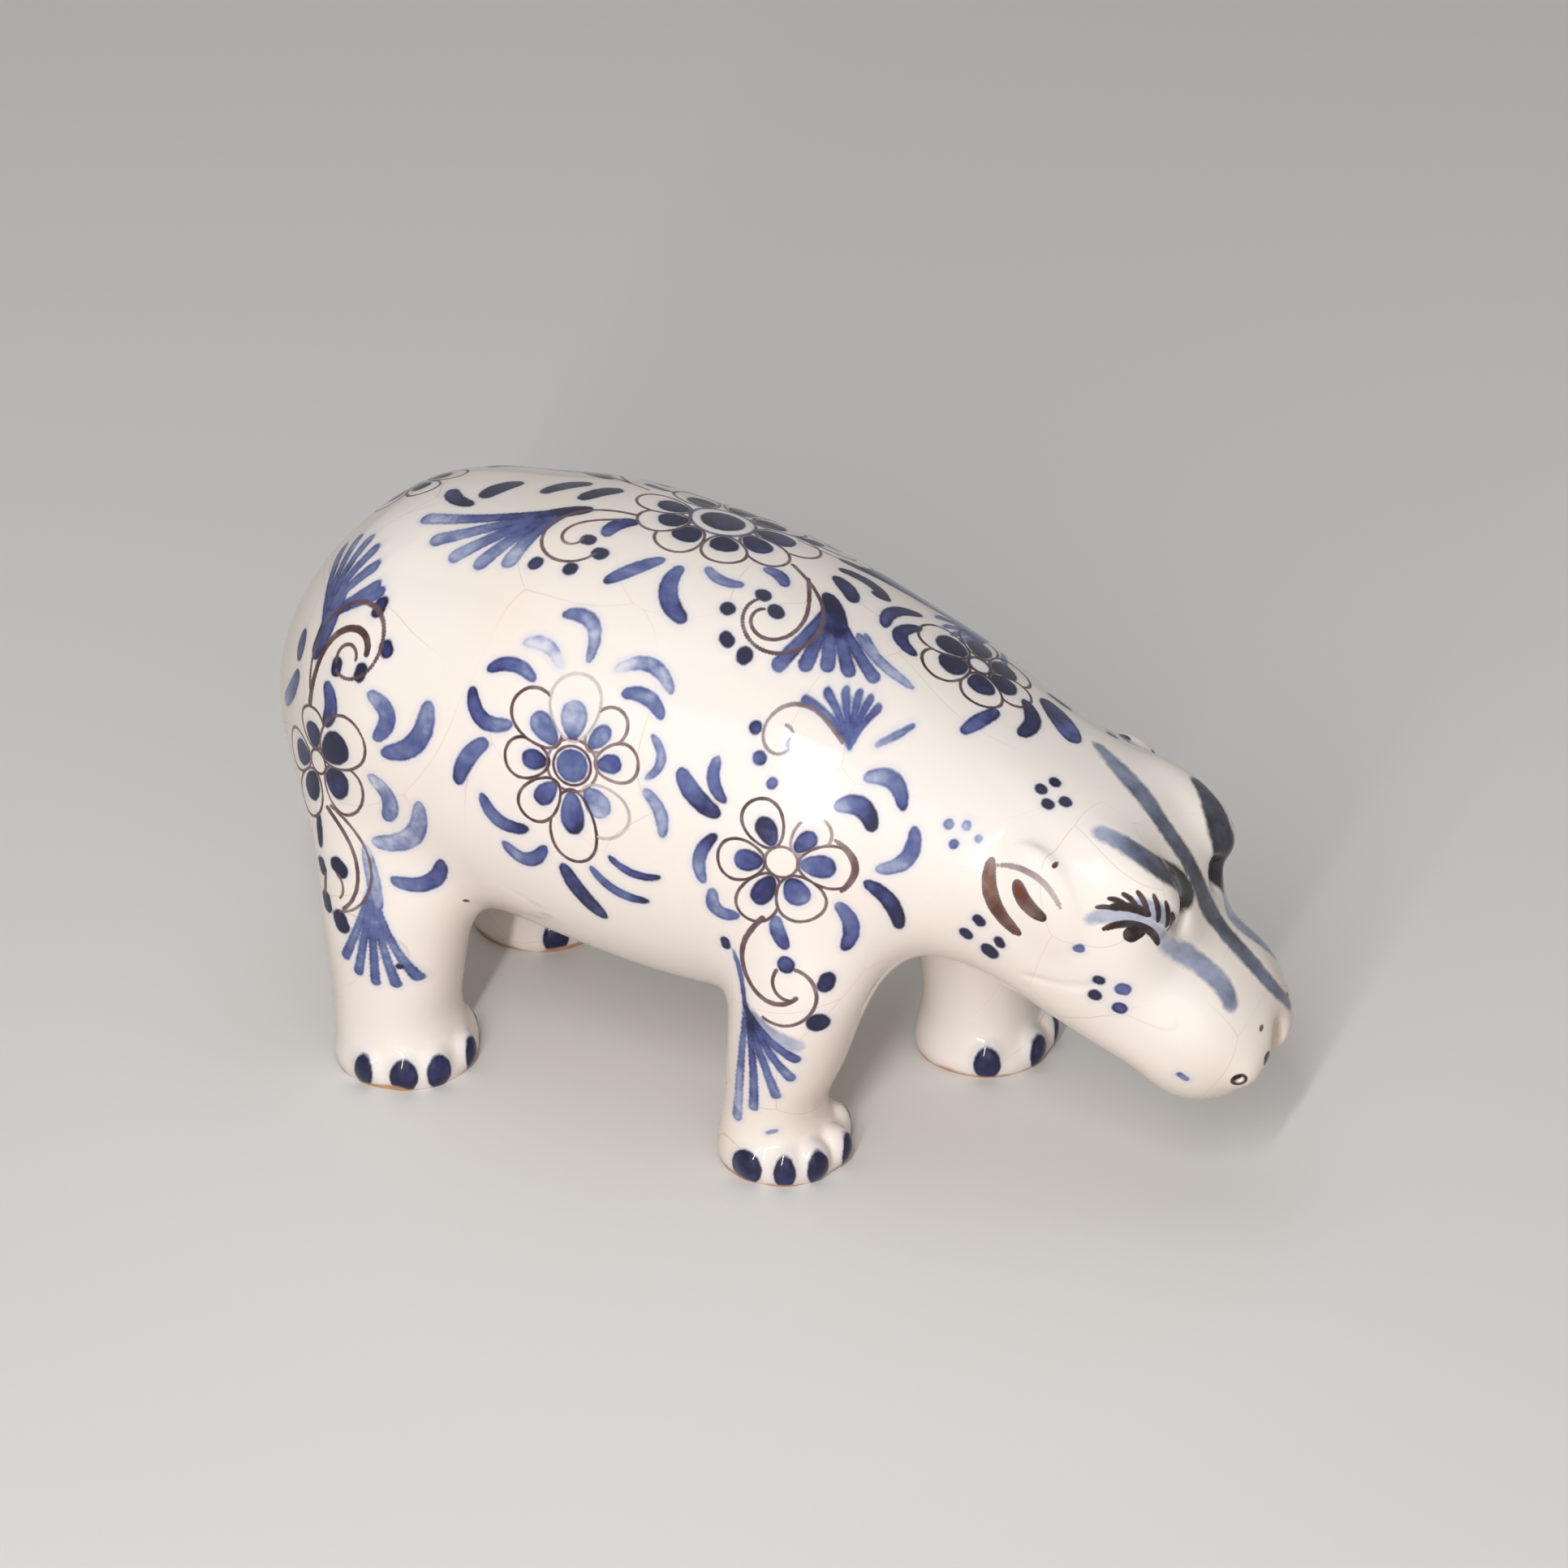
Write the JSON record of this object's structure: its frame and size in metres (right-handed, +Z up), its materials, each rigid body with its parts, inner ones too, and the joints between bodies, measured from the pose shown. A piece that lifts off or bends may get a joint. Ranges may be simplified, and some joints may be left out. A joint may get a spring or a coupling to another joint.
{
  "type": "ceramic animal figurine",
  "caption": "Hollow glazed earthenware hippo standing in a walking pose with lowered head, painted with blue flowers and scrolls.",
  "frame": {"origin": "on the floor, under the middle of the figure's box", "axes": "+X towards the nose, +Y towards the figure's left side, +Z up"},
  "size_m": [0.1626, 0.0668, 0.0881],
  "materials": {
    "painted_glaze": "glossy crackled tin glaze with blue and brown painting"
  },
  "bodies": {
    "root": {"body_shell_right": "painted_glaze", "body_shell_left": "painted_glaze", "head": "painted_glaze", "front_right_leg": "painted_glaze", "front_left_leg": "painted_glaze", "rear_right_leg": "painted_glaze", "rear_left_leg": "painted_glaze", "right_ear": "painted_glaze", "left_ear": "painted_glaze", "tail": "painted_glaze"}
  },
  "joints": []
}
